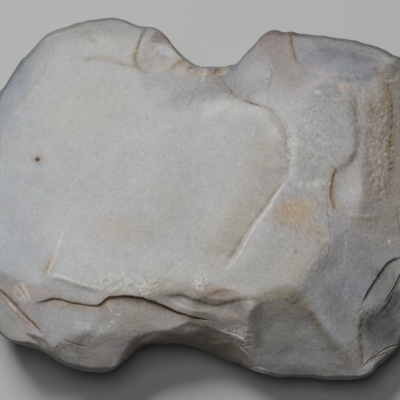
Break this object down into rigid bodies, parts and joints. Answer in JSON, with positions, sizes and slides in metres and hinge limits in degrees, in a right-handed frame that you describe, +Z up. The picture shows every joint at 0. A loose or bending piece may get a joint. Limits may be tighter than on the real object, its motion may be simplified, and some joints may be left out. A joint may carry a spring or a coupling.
{
  "type": "notched stone hoe",
  "caption": "Flat knapped stone hoe blade with a hafting notch in each long side, a thin digging end and a thick butt.",
  "frame": {"origin": "middle of the tool's outline, on the ground under it as it lies on its flatter face", "axes": "+X from the digging end to the butt, +Y from the near notch to the far notch, +Z up out of the ridged face"},
  "size_m": [0.1498, 0.1197, 0.0311],
  "materials": {
    "chert": "matt, pale grey to cream, with tan cracks and a rough brown butt"
  },
  "bodies": {
    "root": {"stone_hoe": "chert"}
  },
  "joints": []
}
